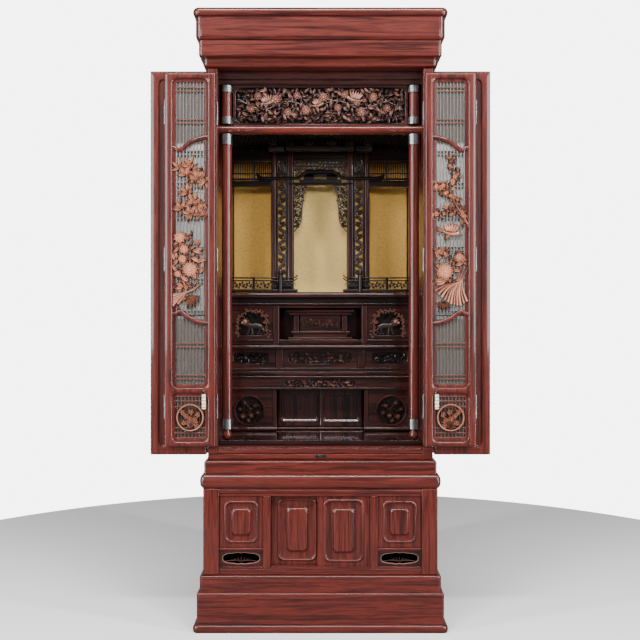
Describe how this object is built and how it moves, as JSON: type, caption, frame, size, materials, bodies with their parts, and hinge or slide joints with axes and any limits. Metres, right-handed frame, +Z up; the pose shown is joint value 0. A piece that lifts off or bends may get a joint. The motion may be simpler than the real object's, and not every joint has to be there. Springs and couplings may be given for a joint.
{
  "type": "household altar cabinet",
  "caption": "Tall wooden household altar cabinet with folded-open outer doors and lattice doors, a tiered inner altar and a cupboard with sliding doors below.",
  "frame": {"origin": "centre of the bounding box at floor level, with the doors folded open", "axes": "+Z up, +X to the right of someone facing the cabinet, +Y from its front to its back"},
  "size_m": [0.882, 0.52, 1.6],
  "materials": {
    "redwood": "gloss lacquer",
    "darkwood": "gloss lacquer",
    "ebony": "satin",
    "gold_leaf": "satin",
    "gauze": "woven"
  },
  "bodies": {
    "cabinet": {"base_board": "redwood", "base_frame": "redwood", "base_step": "redwood", "lower_floor": "darkwood", "lower_side_right": "redwood", "lower_side_left": "redwood", "lower_back": "darkwood", "lower_front_frame": "redwood", "lower_side_panel_right": "redwood", "lower_side_panel_left": "redwood", "lower_openwork_right": "redwood", "lower_openwork_left": "redwood", "lower_slab": "redwood", "plinth": "redwood", "sill": "redwood", "altar_floor": "darkwood", "side_wall_right": "redwood", "side_wall_left": "redwood", "back_wall": "darkwood", "upper_top": "darkwood", "crown_fillet": "redwood", "crown_step": "redwood", "crown_frieze": "redwood", "crown_board": "redwood", "column_right": "redwood", "column_left": "redwood", "upper_post_right": "redwood", "upper_post_left": "redwood", "beam": "darkwood", "transom": "darkwood", "window_front_right": "darkwood", "window_front_left": "darkwood", "small_door_track": "darkwood", "lower_shelf": "darkwood", "middle_tier": "darkwood", "upper_tier": "darkwood", "niche_table": "darkwood", "palace_platform": "darkwood", "railing_right": "darkwood", "railing_left": "darkwood", "palace_frame": "ebony", "gold_back_panel": "gold_leaf", "altar_ceiling": "ebony"},
    "right_outer_door_inner_leaf": {"outer_leaf_inner_right": "redwood"},
    "right_outer_door_outer_leaf": {"outer_leaf_outer_right": "redwood"},
    "right_lattice_door_inner_leaf": {"lattice_leaf_inner_right": "redwood", "gauze_inner_right": "gauze"},
    "right_lattice_door_outer_leaf": {"lattice_leaf_outer_right": "redwood", "gauze_outer_right": "gauze"},
    "left_outer_door_inner_leaf": {"outer_leaf_inner_left": "redwood"},
    "left_outer_door_outer_leaf": {"outer_leaf_outer_left": "redwood"},
    "left_lattice_door_inner_leaf": {"lattice_leaf_inner_left": "redwood", "gauze_inner_left": "gauze"},
    "left_lattice_door_outer_leaf": {"lattice_leaf_outer_left": "redwood", "gauze_outer_left": "gauze"},
    "right_sliding_door": {"sliding_door_right": "redwood"},
    "left_sliding_door": {"sliding_door_left": "redwood"},
    "right_small_door": {"small_door_right": "redwood"},
    "left_small_door": {"small_door_left": "redwood"},
    "pull_out_board": {"pull_out_board": "redwood"}
  },
  "joints": [
    {"name": "right_outer_door_hinge", "type": "hinge", "parent": "cabinet", "child": "right_outer_door_inner_leaf", "pos_m": [0.295, -0.22, 0.9485], "axis": [0, 0, -1], "range_deg": [0, 180]},
    {"name": "right_outer_door_fold", "type": "hinge", "parent": "right_outer_door_inner_leaf", "child": "right_outer_door_outer_leaf", "pos_m": [0.442, -0.20015, 0.9485], "axis": [0, 0, -1], "range_deg": [0, 180]},
    {"name": "right_lattice_door_hinge", "type": "hinge", "parent": "cabinet", "child": "right_lattice_door_inner_leaf", "pos_m": [0.2675, -0.22, 0.955], "axis": [0, 0, -1], "range_deg": [0, 180]},
    {"name": "right_lattice_door_fold", "type": "hinge", "parent": "right_lattice_door_inner_leaf", "child": "right_lattice_door_outer_leaf", "pos_m": [0.401, -0.23485, 0.955], "axis": [0, 0, 1], "range_deg": [0, 180]},
    {"name": "left_outer_door_hinge", "type": "hinge", "parent": "cabinet", "child": "left_outer_door_inner_leaf", "pos_m": [-0.295, -0.22, 0.9485], "axis": [0, 0, 1], "range_deg": [0, 180]},
    {"name": "left_outer_door_fold", "type": "hinge", "parent": "left_outer_door_inner_leaf", "child": "left_outer_door_outer_leaf", "pos_m": [-0.442, -0.20015, 0.9485], "axis": [0, 0, 1], "range_deg": [0, 180]},
    {"name": "left_lattice_door_hinge", "type": "hinge", "parent": "cabinet", "child": "left_lattice_door_inner_leaf", "pos_m": [-0.2675, -0.22, 0.955], "axis": [0, 0, 1], "range_deg": [0, 180]},
    {"name": "left_lattice_door_fold", "type": "hinge", "parent": "left_lattice_door_inner_leaf", "child": "left_lattice_door_outer_leaf", "pos_m": [-0.401, -0.23485, 0.955], "axis": [0, 0, -1], "range_deg": [0, 180]},
    {"name": "right_sliding_door_slide", "type": "slide", "parent": "cabinet", "child": "right_sliding_door", "axis": [-1, 0, 0], "range_m": [0, 0.119]},
    {"name": "left_sliding_door_slide", "type": "slide", "parent": "cabinet", "child": "left_sliding_door", "axis": [1, 0, 0], "range_m": [0, 0.119]},
    {"name": "right_small_door_slide", "type": "slide", "parent": "cabinet", "child": "right_small_door", "axis": [-1, 0, 0], "range_m": [0, 0.118]},
    {"name": "left_small_door_slide", "type": "slide", "parent": "cabinet", "child": "left_small_door", "axis": [1, 0, 0], "range_m": [0, 0.118]},
    {"name": "pull_out_board_slide", "type": "slide", "parent": "cabinet", "child": "pull_out_board", "axis": [0, 1, 0], "range_m": [-0.2, 0]}
  ],
  "couplings": [
    {"joint": "right_lattice_door_hinge", "follows": "right_outer_door_hinge", "ratio": 1},
    {"joint": "left_lattice_door_hinge", "follows": "left_outer_door_hinge", "ratio": 1}
  ]
}
